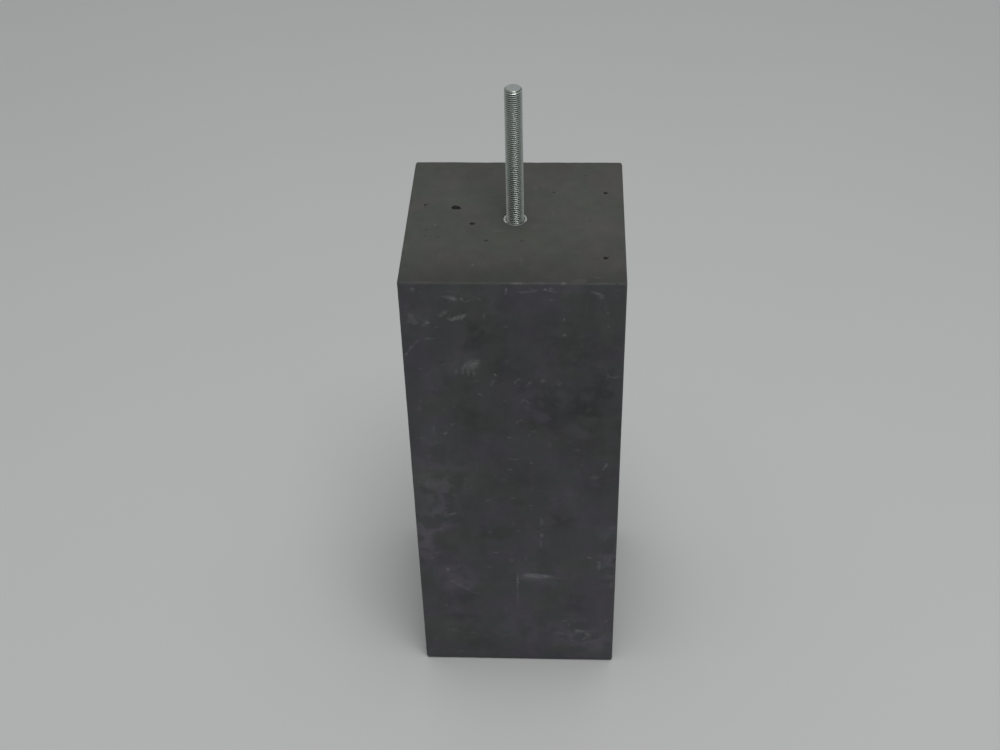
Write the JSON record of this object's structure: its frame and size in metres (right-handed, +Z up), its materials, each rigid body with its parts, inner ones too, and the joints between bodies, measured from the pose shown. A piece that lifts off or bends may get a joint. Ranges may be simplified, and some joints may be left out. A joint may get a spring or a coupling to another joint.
{
  "type": "column base block",
  "caption": "Square dark cast concrete block with a screw socket cast flush into its top and an upright threaded steel rod for carrying a timber post.",
  "frame": {"origin": "middle of the block's underside, on the surface that it stands on", "axes": "+Z up along the threaded rod; -Y is the scuffed face that the picture shows in front, +X to its right"},
  "size_m": [0.2, 0.2, 0.634],
  "materials": {
    "dark_concrete": "matte",
    "socket_steel": "satin",
    "zinc_plate": "satin"
  },
  "bodies": {
    "root": {"concrete_block": "dark_concrete", "screw_socket": "socket_steel", "threaded_rod": "zinc_plate"}
  },
  "joints": []
}
